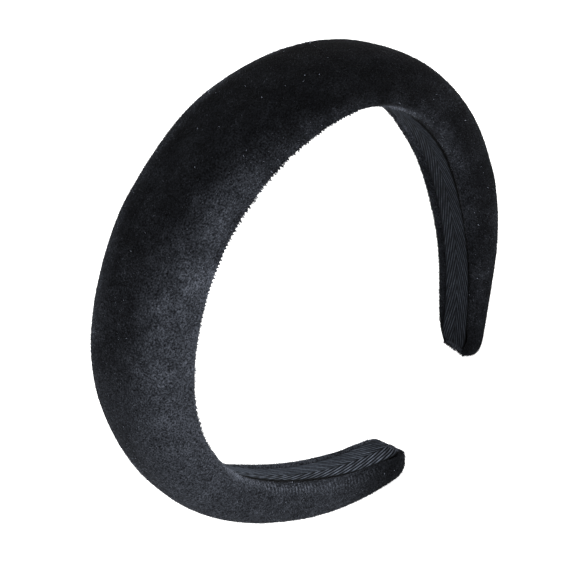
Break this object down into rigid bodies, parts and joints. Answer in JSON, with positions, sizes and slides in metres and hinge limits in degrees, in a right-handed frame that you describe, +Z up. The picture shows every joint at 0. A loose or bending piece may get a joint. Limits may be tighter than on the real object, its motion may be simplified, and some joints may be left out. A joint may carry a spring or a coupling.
{
  "type": "padded headband",
  "caption": "Padded hair band: a sprung open hoop with a domed foam pad, covered in black velvet and lined with herringbone tape.",
  "frame": {"origin": "on the surface the two tips stand on, midway between them and midway between the front and back edges", "axes": "+Z up through the crown as worn, +X from the left arm to the right arm, +Y from the front edge to the back edge"},
  "size_m": [0.16, 0.039, 0.1517],
  "materials": {
    "hoop_plastic": "smooth black sprung plastic",
    "mounting_tape": "double-sided mounting tape",
    "pad_foam": null,
    "velvet": "black short-pile velvet with a mottled cool grey sheen",
    "fabric_glue": "cured clear fabric glue",
    "herringbone_tape": "matte dark grey herringbone twill tape"
  },
  "bodies": {
    "root": {"hoop": "hoop_plastic", "pad_tape": "mounting_tape", "foam_pad": "pad_foam", "velvet_cover": "velvet", "front_hem_glue": "fabric_glue", "rear_hem_glue": "fabric_glue", "lining_glue": "fabric_glue", "lining_tape": "herringbone_tape"}
  },
  "joints": []
}
